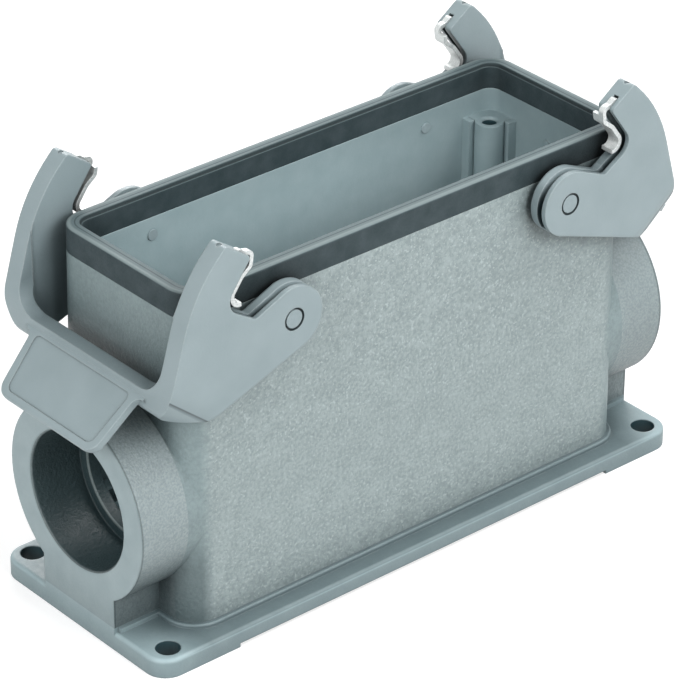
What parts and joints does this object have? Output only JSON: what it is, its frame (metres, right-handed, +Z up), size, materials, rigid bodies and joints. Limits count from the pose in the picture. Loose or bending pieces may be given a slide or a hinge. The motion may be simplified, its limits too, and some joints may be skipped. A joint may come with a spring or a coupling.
{
  "type": "heavy duty rectangular connector housing",
  "caption": "Die-cast surface-mounting housing for a rectangular power connector, with hooked locking levers, a rim seal and threaded cable entries in its end walls.",
  "frame": {"origin": "centre of the base plate, on the mounting surface", "axes": "+X along the length through the cable entries, +Y across the width, +Z up out of the open rim"},
  "size_m": [0.1586, 0.0546, 0.094],
  "materials": {
    "housing_paint": "fine textured grey powder coat on a casting",
    "lever_paint": "smooth satin grey paint",
    "seal_rubber": "matt dark elastomer",
    "spring_steel": "bright rolled strip",
    "pin_metal": "flat grey pin end"
  },
  "bodies": {
    "housing": {"housing": "housing_paint", "rim_seal": "seal_rubber", "pivot_pin_left_front": "pin_metal", "pivot_pin_left_rear": "pin_metal", "pivot_pin_right_front": "pin_metal", "pivot_pin_right_rear": "pin_metal"},
    "lever_left": {"lever_left": "lever_paint", "spring_clip_left_front": "spring_steel", "spring_clip_left_rear": "spring_steel"},
    "lever_right": {"lever_right": "lever_paint", "spring_clip_right_front": "spring_steel", "spring_clip_right_rear": "spring_steel"}
  },
  "joints": [
    {"name": "lever_left_hinge", "type": "hinge", "parent": "housing", "child": "lever_left", "pos_m": [-0.0374, 0, 0.07195], "axis": [0, 1, 0], "range_deg": [0, 50]},
    {"name": "lever_right_hinge", "type": "hinge", "parent": "housing", "child": "lever_right", "pos_m": [0.0374, 0, 0.07195], "axis": [0, -1, 0], "range_deg": [0, 50]}
  ]
}
